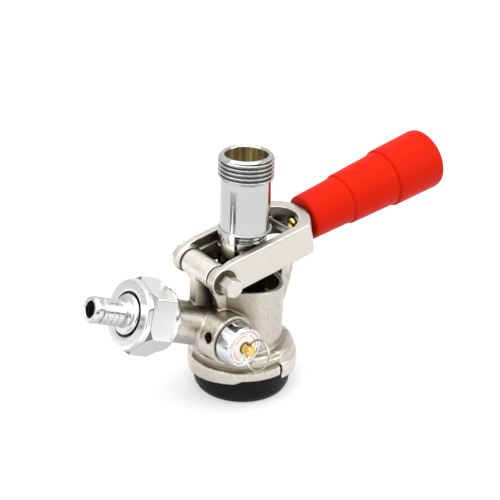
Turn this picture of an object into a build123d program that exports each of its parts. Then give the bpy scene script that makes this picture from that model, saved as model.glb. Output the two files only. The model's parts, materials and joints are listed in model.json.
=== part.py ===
from build123d import *
import math
import os

# Keg coupler with a lever-worked probe, gas inlet union, relief valve and
# base dust cap. Row frame in millimetres: origin on the probe axis at the
# underside of the dust cap, +Z up the probe, +X towards the handle grip.

# ---- driving dimensions ------------------------------------------------
PROBE_TOP = 104.9          # top lip of the beer outlet
THREAD_R = 11.455          # G5/8 external thread, major radius
THREAD_BOT = 94.3          # lower end of the thread
TUBE_R = 10.35             # polished tube above the lever
OUTLET_R = 8.7             # counterbore in the outlet
PROBE_BORE_R = 5.6         # beer way through the probe
COLLAR_Z = 73.2            # top edge of the collar above the lever
COLLAR_R = 11.1
STEM_R = 9.2               # sliding part of the probe
GROOVE_R = 7.9             # groove that the lever fingers work in
PROBE_BOT = 8.8

HX, HZ = -19.7, 58.6       # lever hinge axis, parallel to Y
BARREL_HALF = 9.0          # half length of the hinge barrel
BARREL_R = 5.4
LEVER_UP = 11.5            # degrees above level at rest (released)
LEVER_TRAVEL = 17.5        # degrees down to the tapped position
ARM_HALF_W = 15.1          # outer half width over the lever arms
ARM_IN_0, ARM_IN_1 = 12.0, 11.0
ARM_TOP, ARM_BOT = 6.9, -6.75
CORNER_X, APEX_X = 44.0, 50.6
POCKET_X = 46.2            # inner face of the closed end
WEB_X = 40.3               # cross wall in front of the latch pocket
FINGER_X = 20.0            # finger centre from the hinge
FINGER_R = 2.4
ROD_Z = 0.6                # handle axis above the hinge line
GRIP_0, GRIP_1, GRIP_2, GRIP_3 = 51.2, 71.7, 95.8, 120.6

BARREL_OR = 16.9           # body barrel
BARREL_IR = 15.1
RIM_Z, RIM_SLOPE = 49.5, -0.114
FLANGE_R = 23.3
CAP_R = 20.8
SPIGOT_R = 17.6

GAS_Z, GAS_EL = 24.6, 23.1     # gas axis through (0, 0, GAS_Z), rising to -X
STUB_R, UNION_R = 8.96, 11.4
S_UNION0, S_UNION1 = 43.4, 54.2
NUT_FRONT, NUT_HEXF, NUT_HEXB = 61.3, 57.1, 47.7
NUT_FACE_R, NUT_VERT_R, NUT_HOLE_R = 14.6, 15.93, 9.2
NUT_PHASE = 16.8
TAIL_COLLAR_R, TAIL_COLLAR_S, TAIL_TIP_S = 8.52, 62.7, 79.0
BARB_BORE_R = 3.3

PRV_X, PRV_Z, PRV_AZ = -18.5, 32.3, 6.0
PRV_BOSS_R, PRV_BOSS_S = 10.65, 16.8
PRV_FRONT = 24.6
RING_S, RING_MAJOR, RING_MINOR = 26.0, 6.1, 0.6
BOLT_R, BOLT_HEX_R = 2.4, 4.0

os.makedirs("parts", exist_ok=True)


def rad(a):
    return math.radians(a)


def one(shape):
    """The single solid of a result."""
    s = shape.solids()
    if len(s) == 1:
        return s[0]
    s = sorted(s, key=lambda q: -q.volume)
    if sum(q.volume for q in s[1:]) > 1e-3:
        raise ValueError("more than one solid: %s" % [round(q.volume, 3) for q in s])
    return s[0]


def cyl(r, z0, z1, at=None):
    """Cylinder of radius r from z0 to z1 along the Z of the plane at."""
    s = Solid.make_cylinder(r, z1 - z0, Plane(origin=(0, 0, z0), z_dir=(0, 0, 1)))
    return s if at is None else at.location * s


def rev(pts, at=None):
    """Solid of revolution about Z from (r, z) points."""
    f = make_face(Polyline(*[(r, 0, z) for r, z in pts], close=True))
    s = revolve(f, Axis.Z, 360).solid()
    return s if at is None else at.location * s


def prism_xz(pts, y0, y1):
    """Prism with (x, z) outline between y0 and y1."""
    f = make_face(Polyline(*[(x, y0, z) for x, z in pts], close=True))
    return extrude(f, amount=y1 - y0, dir=(0, 1, 0)).solid()


def prism_xy(pts, z0, z1):
    f = make_face(Polyline(*[(x, y, z0) for x, y in pts], close=True))
    return extrude(f, amount=z1 - z0, dir=(0, 0, 1)).solid()


def sector(r0, r1, z0, z1, a0, a1, n=24):
    """Ring sector between two angles in degrees."""
    pts = [(r1 * math.cos(rad(a0 + (a1 - a0) * i / n)), r1 * math.sin(rad(a0 + (a1 - a0) * i / n))) for i in range(n + 1)]
    pts += [(r0 * math.cos(rad(a1 + (a0 - a1) * i / n)), r0 * math.sin(rad(a1 + (a0 - a1) * i / n))) for i in range(n + 1)]
    return prism_xy(pts, z0, z1)


def pie(a0, a1, z0, z1):
    """Slice with its point on the Z axis, between two angles in degrees."""
    pts = [(0, 0)] + [(60 * math.cos(rad(a0 + (a1 - a0) * i / 6)), 60 * math.sin(rad(a0 + (a1 - a0) * i / 6))) for i in range(7)]
    return prism_xy(pts, z0, z1)


def hexagon(r_vertex, z0, z1, phase, at=None):
    pts = [(r_vertex * math.cos(rad(phase + 60 * k)), r_vertex * math.sin(rad(phase + 60 * k))) for k in range(6)]
    s = prism_xy(pts, z0, z1)
    return s if at is None else at.location * s


def torus_ring(major, minor, z, at=None):
    s = Solid.make_torus(major, minor, Plane(origin=(0, 0, z), z_dir=(0, 0, 1)))
    return s if at is None else at.location * s


def coil(mean_r, wire_r, z0, z1, turns, at=None):
    """Compression spring: a round wire swept along a helix."""
    h = (z1 - z0) - 2 * wire_r
    path = Helix(pitch=h / turns, height=h, radius=mean_r)
    start = path @ 0
    prof = Plane(origin=start, z_dir=path % 0) * Circle(wire_r)
    s = sweep(prof, path=path, is_frenet=True).solid()
    s = Pos(0, 0, z0 + wire_r) * s
    return s if at is None else at.location * s


def save(name, shape):
    shape.label = name
    export_step(shape, "parts/%s.step" % name)
    return shape


# ---- working planes ------------------------------------------------------
GE = rad(GAS_EL)
GAS = Plane(origin=(0, 0, GAS_Z), x_dir=(math.sin(GE), 0, math.cos(GE)), z_dir=(-math.cos(GE), 0, math.sin(GE)))
PA = rad(PRV_AZ)
PRV_DIR = (math.sin(PA), -math.cos(PA), 0)
PRV = Plane(origin=(PRV_X, 0, PRV_Z), x_dir=(math.cos(PA), math.sin(PA), 0), z_dir=PRV_DIR)
LV = rad(LEVER_UP)
LX = (math.cos(LV), 0, math.sin(LV))
LZ = (-math.sin(LV), 0, math.cos(LV))
LEVER = Plane(origin=(HX, 0, HZ), x_dir=LX, z_dir=LZ)
ROD = Plane(origin=(HX + LZ[0] * ROD_Z, 0, HZ + LZ[2] * ROD_Z), x_dir=(0, -1, 0), z_dir=LX)
HINGE = Plane(origin=(HX, 0, HZ), x_dir=(1, 0, 0), z_dir=(0, 1, 0))

# ---- body casting --------------------------------------------------------
body = rev([
    (8.0, 6.0), (SPIGOT_R - 0.6, 6.0), (SPIGOT_R, 6.6), (SPIGOT_R, 12.6), (FLANGE_R - 0.3, 12.6), (FLANGE_R, 12.9),
    (FLANGE_R, 16.3), (FLANGE_R - 0.4, 16.8), (22.1, 16.9), (22.0, 20.0), (21.4, 20.8), (19.6, 21.9),
    (BARREL_OR + 0.5, 22.2), (BARREL_OR, 22.8), (BARREL_OR, 54.0), (8.0, 54.0)])
# two cam skirts hang below the flange, half a turn apart: a level run, a
# gently rising run and a short steep run-out
def skirt(turn):
    k = cyl(FLANGE_R, 9.5, 13.5) - cyl(21.2, 9, 14)
    k = k & pie(102 + turn, 236 + turn, 8, 15)
    for z0, slope, face in ((10.22, 0.0862, 288.5), (11.975, 0.467, 321.5), (10.13, 0.119, 20.0)):
        f = rad(face + turn)
        below = Plane(origin=(0, 0, z0), z_dir=(-slope * math.cos(f), -slope * math.sin(f), 1))
        k = k - (below.location * Pos(0, 0, -15) * Box(90, 90, 30).solid())
    return k
for turn in (0.0, 180.0):
    body = body + one(skirt(turn))
    # locking ear above the skirt: steep lip, then a sloping shoulder
    ear = rev([(15.0, 12.7), (FLANGE_R, 12.7), (FLANGE_R + 0.2, 13.0), (FLANGE_R + 0.2, 14.7), (FLANGE_R - 0.3, 15.2), (20.3, 22.2), (15.0, 22.4)])
    body = body + one(ear & pie(102 + turn, 162 + turn, 5, 30))
    # slot in the flange beside the ear
    body = body - sector(20.95, 26, 9, 17.0, 99.2 + turn, 102 + turn)
body = one(body)
# slanted barrel mouth, parallel to the lowered lever
cut = prism_xz([(-40, RIM_Z - RIM_SLOPE * 40), (40, RIM_Z + RIM_SLOPE * 40), (40, 70), (-40, 70)], -30, 30)
body = body - cut
# gas stub with union thread, relief valve boss
body = body + cyl(STUB_R, 6, S_UNION0 + 0.5, GAS)
body = body + rev([(0, S_UNION0), (UNION_R - 0.7, S_UNION0), (UNION_R, S_UNION0 + 0.7), (UNION_R, S_UNION1 - 0.7), (UNION_R - 0.7, S_UNION1), (0, S_UNION1)], GAS)
body = body + cyl(PRV_BOSS_R, 2.5, PRV_BOSS_S, PRV)
# hinge barrel with web and two cheeks
body = body + cyl(BARREL_R, -BARREL_HALF, BARREL_HALF, HINGE)
body = body + prism_xz([(-25.0, 58.0), (-25.4, 50.0), (-25.6, 42.0), (-14.0, 37.0), (-14.0, 50.5), (-17.0, 55.5)], -2.5, 2.5)
for y0, y1 in ((-9.0, -6.6), (6.6, 9.0)):
    body = body + prism_xz([(-12.0, 33.0), (-12.0, 50.4), (-14.6, 56.5), (-23.5, 56.0), (-20.0, 49.0), (-18.3, 44.0), (-17.6, 36.0)], y0, y1)
# latch lug opposite the hinge
body = body + prism_xz([(14.5, 31.5), (17.5, 33.0), (19.6, 37.0), (21.6, 43.5), (22.8, 49.0), (23.6, 52.4), (23.3, 54.0), (23.3, 57.0), (23.6, 58.0), (23.2, 59.2), (22.15, 59.2), (22.15, 51.6), (17.0, 51.6), (17.0, 46.0), (15.5, 44.0)], -4.0, 4.0)
body = one(body)
# barrel cup, gland, gas chamber, mouth
body = body - cyl(BARREL_IR, 38.5, 60)
body = body - cyl(STEM_R + 0.06, 5, 60)
body = body - cyl(11.25, 34.6, 36.9)
body = body - cyl(12.6, 5, 33.0)
body = body - cyl(15.6, 5, 9.3)
body = body - cyl(3.5, 12.0, 56, GAS)
body = body - cyl(6.3, 44.0, 56, GAS)
body = body - cyl(8.3, 52.2, 56, GAS)
# relief valve bore, seat way and vent
body = body - cyl(6.3, 7.4, 20, PRV)
body = body - cyl(1.9, 0.0, 8, PRV)
vd = (-math.cos(rad(21)), 0, math.sin(rad(21)))
vent = Plane(origin=(PRV_X, -13.9, PRV_Z), x_dir=(0, 1, 0), z_dir=vd)
body = body - cyl(2.3, 2, 20, vent)
# hinge bore
body = body - cyl(BOLT_R + 0.05, -30, 30, HINGE)
body = one(body)
save("body_casting", body)

# ---- seals and small pieces in the body ------------------------------------
save("body_seal", rev([(11.7, 5.3), (15.0, 5.3), (15.6, 5.9), (15.6, 9.3), (11.9, 9.3), (11.4, 8.6)]))
save("gland_o_ring", torus_ring(10.235, 1.0, 35.75))
duck = rev([(2.6, 54.15), (8.25, 54.15), (8.25, 52.25), (5.4, 52.25), (5.0, 50.0), (2.2, 45.4), (1.2, 45.4), (1.2, 46.4), (2.6, 51.0)], GAS)
save("gas_check_valve", one(duck))
save("tailpiece_washer", rev([(4.6, 54.25), (8.9, 54.25), (8.9, 55.35), (4.6, 55.35)], GAS))

# ---- gas union ---------------------------------------------------------------
tail = rev([
    (BARB_BORE_R, 55.4), (10.4, 55.4), (10.6, 55.6), (10.6, 57.7), (10.3, 58.0), (TAIL_COLLAR_R, 58.0),
    (TAIL_COLLAR_R, TAIL_COLLAR_S - 1.2), (TAIL_COLLAR_R - 0.5, TAIL_COLLAR_S - 0.4), (TAIL_COLLAR_R - 1.4, TAIL_COLLAR_S), (5.2, TAIL_COLLAR_S + 0.1), (5.0, 63.4),
    (5.0, 65.2), (5.2, 65.5), (5.0, 67.8), (5.18, 68.1), (4.98, 70.4), (5.15, 70.7), (4.95, 73.4), (5.1, 73.7), (4.95, 74.9),
    (4.35, 75.1), (4.35, 75.9), (5.0, 76.1), (5.1, TAIL_TIP_S - 1.0), (4.8, TAIL_TIP_S - 0.2), (4.5, TAIL_TIP_S), (BARB_BORE_R + 0.3, TAIL_TIP_S), (BARB_BORE_R, TAIL_TIP_S - 0.3)], GAS)
save("hose_tailpiece", one(tail))
nut = hexagon(NUT_VERT_R, 43.9, NUT_FRONT, NUT_PHASE, GAS)
env = rev([(0, 43.9), (12.7, 43.9), (13.2, 44.3), (13.4, 45.0), (13.4, 46.8), (NUT_VERT_R + 0.2, NUT_HEXB + 0.9), (NUT_VERT_R + 0.2, NUT_HEXF - 0.6), (NUT_FACE_R - 0.1, NUT_HEXF + 1.6),
           (NUT_FACE_R - 0.35, NUT_FRONT - 0.6), (NUT_FACE_R - 0.9, NUT_FRONT), (0, NUT_FRONT)], GAS)
nut = nut & env
nut = nut - cyl(NUT_HOLE_R, 40, 70, GAS) - cyl(UNION_R + 0.06, 40, 58.15, GAS)
save("union_nut", one(nut))

# ---- relief valve --------------------------------------------------------------
cap = rev([(4.8, 12.4), (6.2, 12.4), (6.2, 17.0), (9.25, 17.0), (9.35, 17.4), (9.1, 20.0), (8.75, 23.6), (8.45, PRV_FRONT), (7.15, PRV_FRONT),
           (6.9, PRV_FRONT - 0.3), (6.9, PRV_FRONT - 0.9), (2.3, PRV_FRONT - 0.9), (2.3, 20.0), (4.8, 20.0)], PRV)
save("prv_cap", one(cap))
save("prv_label_disc", rev([(2.6, PRV_FRONT - 0.85), (6.8, PRV_FRONT - 0.85), (6.8, PRV_FRONT - 0.35), (2.6, PRV_FRONT - 0.35)], PRV))
stem = rev([(0, 9.1), (4.4, 9.1), (4.6, 9.3), (4.6, 10.1), (2.2, 10.1), (2.2, 28.0), (1.9, 28.4), (0, 28.4)], PRV)
hd = Vector(0.407, 0, 0.913)
RH = Plane(origin=(PRV_X + PRV_DIR[0] * RING_S, PRV_DIR[1] * RING_S, PRV_Z), z_dir=hd)
stem = stem - cyl(1.15, -5, 5, RH)
save("prv_stem", one(stem))
save("prv_seat_seal", rev([(0, 7.5), (4.3, 7.5), (4.3, 9.05), (0, 9.05)], PRV))
save("prv_spring", coil(3.3, 0.4, 10.15, 19.95, 6, PRV))
# the ring lies in the plane of the stem axis and the cross hole
RING_OFF = RING_S + RING_MAJOR - 0.15
rn = Vector(*PRV_DIR).cross(hd).normalized()
RING = Plane(origin=(PRV_X + PRV_DIR[0] * RING_OFF, PRV_DIR[1] * RING_OFF, PRV_Z), x_dir=PRV_DIR, z_dir=rn)
save("prv_pull_ring", torus_ring(RING_MAJOR, RING_MINOR, 0, RING))

# ---- hinge bolt and nut -----------------------------------------------------------
BOLT_IN = -(ARM_HALF_W - 0.8)
HEAD = 7.5
bolt = cyl(BOLT_R, BOLT_IN - 0.5, 18.6, HINGE) + hexagon(BOLT_HEX_R, BOLT_IN - HEAD, BOLT_IN, 20, HINGE)
bolt = bolt & rev([(0, BOLT_IN - HEAD), (3.5, BOLT_IN - HEAD), (4.1, BOLT_IN - HEAD + 0.4), (4.1, BOLT_IN), (BOLT_R, BOLT_IN), (BOLT_R, 18.3), (BOLT_R - 0.3, 18.6), (0, 18.6)], HINGE)
save("hinge_bolt", one(bolt))
hn = hexagon(4.4, ARM_HALF_W + 0.02, ARM_HALF_W + 2.7, 12, HINGE) - cyl(BOLT_R + 0.02, 10, 22, HINGE)
save("hinge_nut", one(hn))
w1 = cyl(5.2, 9.1, 10.15, HINGE) - cyl(BOLT_R + 0.06, 5, 12, HINGE)
w2 = cyl(5.2, -10.15, -9.1, HINGE) - cyl(BOLT_R + 0.06, -12, -5, HINGE)
save("hinge_washers", Compound(children=[one(w1), one(w2)]))

# ---- lever -------------------------------------------------------------------------
hw = ARM_HALF_W
R_out = (hw ** 2 + (APEX_X - CORNER_X) ** 2) / (2 * (APEX_X - CORNER_X))
a_out = math.asin(hw / R_out)
outer = [(-8.0, -hw), (CORNER_X, -hw)] + [(APEX_X - R_out + R_out * math.cos(t), R_out * math.sin(t)) for t in [a_out * (i / 12 - 1) for i in range(1, 24)]] + [(CORNER_X, hw), (-8.0, hw)]
yoke = prism_xy(outer, ARM_BOT, ARM_TOP)
IN_CX = 39.0
R_in = (ARM_IN_1 ** 2 + (POCKET_X - IN_CX) ** 2) / (2 * (POCKET_X - IN_CX))
a_in = math.asin(min(1, ARM_IN_1 / R_in))
inner = [(-9.0, -ARM_IN_0), (IN_CX, -ARM_IN_1)] + [(POCKET_X - R_in + R_in * math.cos(t), R_in * math.sin(t)) for t in [a_in * (i / 12 - 1) for i in range(1, 24)]] + [(IN_CX, ARM_IN_1), (-9.0, ARM_IN_0)]
yoke = yoke - prism_xy(inner, ARM_BOT - 1, ARM_TOP + 1)
# side outline: round ends on the hinge axis
side = prism_xz([(0, -5.95), (5.0, ARM_BOT), (APEX_X + 1, ARM_BOT), (APEX_X + 1, ARM_TOP), (5.0, ARM_TOP), (0, 5.95)], -20, 20)
LH = Plane(origin=(0, 0, 0), x_dir=(1, 0, 0), z_dir=(0, 1, 0))
side = side + cyl(5.95, -20, 20, LH)
# relieve the corner below the closed end
yoke = yoke & side
# cross wall and side ledges
yoke = yoke + prism_xy([(WEB_X, -11.6), (WEB_X + 1.3, -11.6), (WEB_X + 1.3, 11.6), (WEB_X, 11.6)], -1.4, 2.0)
for sgn in (-1, 1):
    a, b = 12.3 * sgn, 10.9 * sgn
    yoke = yoke + prism_xy([(4.5, min(a, b)), (WEB_X + 0.5, min(a, b)), (WEB_X + 0.5, max(a, b)), (4.5, max(a, b))], -1.4, 2.0)
    # inner boss disc at the hinge and the finger in the probe groove
    yoke = yoke + cyl(5.6, min(10.2 * sgn, 12.5 * sgn), max(10.2 * sgn, 12.5 * sgn), LH)
    FP = Plane(origin=(FINGER_X, 0, 0), x_dir=(1, 0, 0), z_dir=(0, 1, 0))
    yoke = yoke + cyl(FINGER_R, min(8.25 * sgn, 12.5 * sgn), max(8.25 * sgn, 12.5 * sgn), FP)
LR = Plane(origin=(0, 0, ROD_Z), x_dir=(0, -1, 0), z_dir=(1, 0, 0))
yoke = yoke - cyl(BOLT_R + 0.02, -20, 20, LH) - cyl(5.2, -16, BOLT_IN, LH)
yoke = yoke - cyl(3.3, 43, 60, LR) - cyl(5.5, 48.0, 60, LR)
yoke = one(LEVER.location * one(yoke))
save("lever_yoke", yoke)

# ---- handle ---------------------------------------------------------------------------
tube = rev([(3.4, 48.05), (5.45, 48.05), (5.45, 106.0), (2.6, 106.0), (2.6, 86.0), (3.4, 86.0)], ROD)
save("handle_tube", one(tube))
rod = rev([(0, 44.0), (1.6, 44.0), (2.5, 44.5), (2.8, 45.4), (2.8, 52.0), (2.4, 52.0), (2.4, 60.0), (3.3, 60.0), (3.3, 61.5), (2.4, 61.5), (2.4, 117.0), (0, 117.0)], ROD)
save("latch_rod", one(rod))
save("latch_spring", coil(2.86, 0.4, 61.55, 85.95, 11, ROD))
save("grip_insert", rev([(2.4, 112.0), (4.9, 112.0), (4.9, 117.0), (2.4, 117.0)], ROD))
grip = rev([
    (5.6, GRIP_0), (9.3, GRIP_0), (9.9, GRIP_0 + 0.6), (10.6, GRIP_1 - 0.3), (11.0, GRIP_1), (11.35, GRIP_1 + 0.4), (12.2, GRIP_2 - 0.3), (12.7, GRIP_2), (13.15, GRIP_2 + 0.5),
    (13.75, GRIP_3 - 2.0), (13.5, GRIP_3 - 1.0), (12.9, GRIP_3 - 0.3), (11.9, GRIP_3), (0, GRIP_3), (0, 117.0), (4.9, 117.0), (4.9, 112.0), (5.6, 110.5)], ROD)
save("handle_grip", one(grip))

# ---- probe -------------------------------------------------------------------------------
FZ = HZ + FINGER_X * math.sin(LV)
probe = rev([
    (PROBE_BORE_R, 12.2), (PROBE_BORE_R, 19.8), (3.7, 20.5), (3.7, 21.5), (PROBE_BORE_R, 23.5), (PROBE_BORE_R, 92.0), (OUTLET_R, 94.5), (OUTLET_R, PROBE_TOP - 0.5), (OUTLET_R + 0.5, PROBE_TOP), (THREAD_R - 1.3, PROBE_TOP),
    (THREAD_R, PROBE_TOP - 1.3), (THREAD_R, THREAD_BOT + 0.6), (THREAD_R - 0.6, THREAD_BOT), (TUBE_R, THREAD_BOT), (TUBE_R, COLLAR_Z), (COLLAR_R - 0.15, COLLAR_Z), (COLLAR_R, COLLAR_Z - 0.15), (COLLAR_R, COLLAR_Z - 0.8),
    (8.1, COLLAR_Z - 1.1), (8.1, 68.7), (9.2, 68.5), (STEM_R, FZ + FINGER_R + 0.12), (GROOVE_R, FZ + FINGER_R + 0.12), (GROOVE_R, FZ - FINGER_R - 0.12),
    (STEM_R, FZ - FINGER_R - 0.12), (STEM_R, 16.0), (10.4, 15.6), (10.4, 12.2)])
rail = sector(8.0, COLLAR_R, 56.0, COLLAR_Z - 0.4, 146.5, 213.5)
probe = probe + rail
save("probe_tube", one(probe))
save("probe_seal", rev([(7.2, PROBE_BOT + 0.4), (10.6, PROBE_BOT + 0.4), (11.0, PROBE_BOT + 0.8), (11.0, 11.6), (10.6, 12.15), (7.2, 12.15)]))
cage = rev([(4.2, PROBE_BOT), (9.4, PROBE_BOT), (9.4, PROBE_BOT + 0.35), (7.15, PROBE_BOT + 0.35), (7.15, 12.15), (5.55, 12.2), (5.55, 14.0), (4.7, 14.0), (4.7, 11.4), (3.0, 9.9), (3.0, PROBE_BOT)])
save("ball_retainer", one(cage))
save("check_ball", Pos(0, 0, 13.95) * Solid.make_sphere(3.9))

# ---- dust cap -------------------------------------------------------------------------------
dust = rev([(0, 0), (17.8, 0), (18.9, 0.3), (19.9, 1.2), (20.5, 2.6), (CAP_R, 4.8), (CAP_R, 11.8), (20.3, 12.3), (17.9, 12.3), (17.75, 12.0), (17.75, 2.6), (17.2, 2.2), (0, 2.2)])
save("dust_cap", dust)
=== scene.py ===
import bpy, bmesh, math, json
import numpy as np
from mathutils import Vector, Matrix

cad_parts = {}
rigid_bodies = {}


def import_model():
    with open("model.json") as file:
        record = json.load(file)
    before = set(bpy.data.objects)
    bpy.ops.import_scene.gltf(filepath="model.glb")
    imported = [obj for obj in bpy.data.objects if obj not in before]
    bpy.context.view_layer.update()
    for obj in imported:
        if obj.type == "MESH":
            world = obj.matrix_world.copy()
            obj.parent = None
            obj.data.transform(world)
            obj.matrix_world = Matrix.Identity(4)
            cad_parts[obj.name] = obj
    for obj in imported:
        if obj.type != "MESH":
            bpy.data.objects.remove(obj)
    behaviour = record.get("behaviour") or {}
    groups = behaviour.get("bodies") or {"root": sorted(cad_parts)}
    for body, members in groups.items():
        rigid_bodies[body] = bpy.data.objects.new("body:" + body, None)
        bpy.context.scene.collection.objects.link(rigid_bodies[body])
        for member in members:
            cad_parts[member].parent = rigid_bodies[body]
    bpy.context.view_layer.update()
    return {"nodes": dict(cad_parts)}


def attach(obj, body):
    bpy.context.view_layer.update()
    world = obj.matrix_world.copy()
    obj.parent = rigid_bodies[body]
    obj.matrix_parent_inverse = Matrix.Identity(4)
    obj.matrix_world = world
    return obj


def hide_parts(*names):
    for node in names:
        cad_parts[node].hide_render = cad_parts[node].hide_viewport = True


# Keg coupler: looks. Every length below is in millimetres in the row frame
# and is scaled once, on its way into a mesh.

for o in list(bpy.data.objects):
    bpy.data.objects.remove(o, do_unlink=True)

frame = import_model()
NODES = frame["nodes"]
scene = bpy.context.scene
MM = 0.001


def rad(a):
    return math.radians(a)


# ------------------------------------------------------------------ frames
def basis(origin, z, x):
    """4x4 matrix, in millimetres, with local Z along z and local X near x."""
    z = Vector(z).normalized()
    x = Vector(x)
    x = (x - z * x.dot(z)).normalized()
    y = z.cross(x)
    m = Matrix((x, y, z)).transposed().to_4x4()
    m.translation = Vector(origin)
    return m


GE = rad(23.1)
GAS_DIR = Vector((-math.cos(GE), 0, math.sin(GE)))
GAS = basis((0, 0, 24.6), GAS_DIR, (math.sin(GE), 0, math.cos(GE)))
PA = rad(6.0)
PRV_DIR = Vector((math.sin(PA), -math.cos(PA), 0))
PRV = basis((-18.5, 0, 32.3), PRV_DIR, (math.cos(PA), math.sin(PA), 0))
LV = rad(11.5)
LX = Vector((math.cos(LV), 0, math.sin(LV)))
LZ = Vector((-math.sin(LV), 0, math.cos(LV)))
HINGE_AT = Vector((-19.7, 0, 58.6))
LEVER = basis(HINGE_AT, LZ, LX)
ROD = basis(HINGE_AT + LZ * 0.6, LX, (0, -1, 0))
UP = Matrix.Identity(4)


# ------------------------------------------------------------------ meshes
def new_mesh(name, verts, faces, at=UP, mat_index=None):
    me = bpy.data.meshes.new(name)
    v = [(at @ Vector(p)) * MM for p in verts]
    me.from_pydata([tuple(p) for p in v], [], faces)
    if mat_index is not None:
        me.polygons.foreach_set("material_index", mat_index)
    me.update()
    ob = bpy.data.objects.new(name, me)
    scene.collection.objects.link(ob)
    return ob


def soften(ob, angle=32):
    ob.data.shade_smooth()
    ob.data.set_sharp_from_angle(angle=rad(angle))


def rounded(pts, closed=True):
    """Profile with rounded corners: points are (r, z) or (r, z, radius)."""
    out = []
    n = len(pts)
    for i, p in enumerate(pts):
        r = p[2] if len(p) > 2 else 0.0
        if r <= 0 or (not closed and i in (0, n - 1)):
            out.append((p[0], p[1]))
            continue
        a = Vector(pts[i - 1][:2]) - Vector(p[:2])
        b = Vector(pts[(i + 1) % n][:2]) - Vector(p[:2])
        la, lb = a.length, b.length
        a.normalize()
        b.normalize()
        ang = math.acos(max(-1, min(1, a.dot(b))))
        t = min(r / math.tan(ang / 2), la * 0.48, lb * 0.48)
        p0 = Vector(p[:2]) + a * t
        p1 = Vector(p[:2]) + b * t
        k = 5
        for j in range(k + 1):
            u = j / k
            q = p0 * (1 - u) ** 2 + Vector(p[:2]) * 2 * u * (1 - u) + p1 * u * u
            out.append((q.x, q.y))
    return out


def lathe(name, pts, at=UP, segs=96, angle=32, wave=None):
    """Solid of revolution about local Z. wave(theta, r, z) can move a point."""
    prof = rounded(pts)
    verts, faces = [], []
    n = len(prof)
    for i in range(segs):
        t = 2 * math.pi * i / segs
        for r, z in prof:
            if wave:
                r, z = wave(t, r, z)
            verts.append((r * math.cos(t), r * math.sin(t), z))
    for i in range(segs):
        j = (i + 1) % segs
        for k in range(n):
            m = (k + 1) % n
            if prof[k][0] < 1e-6 and prof[m][0] < 1e-6:
                continue
            faces.append((i * n + k, j * n + k, j * n + m, i * n + m))
    ob = new_mesh(name, verts, faces, at)
    bm = bmesh.new()
    bm.from_mesh(ob.data)
    bmesh.ops.remove_doubles(bm, verts=bm.verts, dist=1e-7)
    bmesh.ops.dissolve_degenerate(bm, edges=bm.edges, dist=1e-8)
    bmesh.ops.recalc_face_normals(bm, faces=bm.faces)
    bm.to_mesh(ob.data)
    bm.free()
    soften(ob, angle)
    return ob


def tube_along(name, pts, radius, segs=14, closed=False, taper=None):
    """Round wire along points, parallel-transported."""
    P = [Vector(p) for p in pts]
    n = len(P)
    T = []
    for i in range(n):
        a = P[i - 1] if (i > 0 or closed) else P[i]
        b = P[(i + 1) % n] if (i < n - 1 or closed) else P[i]
        T.append((b - a).normalized())
    N = T[0].orthogonal().normalized()
    verts, faces = [], []
    for i in range(n):
        N = (N - T[i] * N.dot(T[i])).normalized()
        B = T[i].cross(N)
        r = radius if taper is None else radius * taper(i / (n - 1))
        for k in range(segs):
            a = 2 * math.pi * k / segs
            verts.append(tuple(P[i] + (N * math.cos(a) + B * math.sin(a)) * r))
    last = n if closed else n - 1
    for i in range(last):
        j = (i + 1) % n
        for k in range(segs):
            m = (k + 1) % segs
            faces.append((i * segs + k, i * segs + m, j * segs + m, j * segs + k))
    if not closed:
        for base, flip in ((0, True), ((n - 1) * segs, False)):
            ring = [base + k for k in range(segs)]
            faces.append(tuple(reversed(ring)) if flip else tuple(ring))
    return new_mesh(name, verts, faces)


def apply_modifiers(ob):
    dg = bpy.context.evaluated_depsgraph_get()
    me = bpy.data.meshes.new_from_object(ob.evaluated_get(dg))
    ob.modifiers.clear()
    ob.data = me


def relax(me, concave, both):
    """Fills concave corners with fillets and takes the edge off convex ones."""
    n = len(me.vertices)
    co = np.empty(n * 3)
    me.vertices.foreach_get("co", co)
    co = co.reshape(-1, 3)
    ne = len(me.edges)
    ed = np.empty(ne * 2, dtype=np.int64)
    me.edges.foreach_get("vertices", ed)
    ed = ed.reshape(-1, 2)
    deg = np.bincount(ed.ravel(), minlength=n).astype(float)
    deg[deg == 0] = 1
    loops = np.empty(len(me.loops), dtype=np.int64)
    me.loops.foreach_get("vertex_index", loops)
    quads = loops.reshape(-1, 4)

    def lap():
        s = np.zeros_like(co)
        for k in range(3):
            s[:, k] = np.bincount(ed[:, 0], weights=co[ed[:, 1], k], minlength=n) + np.bincount(ed[:, 1], weights=co[ed[:, 0], k], minlength=n)
        return s / deg[:, None] - co

    def normals():
        a, b, c, d = (co[quads[:, i]] for i in range(4))
        fn = np.cross(c - a, d - b)
        nn = np.zeros_like(co)
        for i in range(4):
            for k in range(3):
                nn[:, k] += np.bincount(quads[:, i], weights=fn[:, k], minlength=n)
        return nn / (np.linalg.norm(nn, axis=1, keepdims=True) + 1e-20)

    for i in range(both):
        co += 0.5 * lap()
        co -= 0.52 * lap()
        co += 0.5 * lap()
    nn = normals()
    for i in range(concave):
        if i % 4 == 0:
            nn = normals()
        d = lap()
        h = (d * nn).sum(1)
        gate = np.clip(h / 4e-6, 0, 1)          # only where the surface is hollow
        co += 0.5 * d * gate[:, None]
    for i in range(2):
        co += 0.35 * lap()
        co -= 0.36 * lap()
    me.vertices.foreach_set("co", co.ravel())
    me.update()


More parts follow.
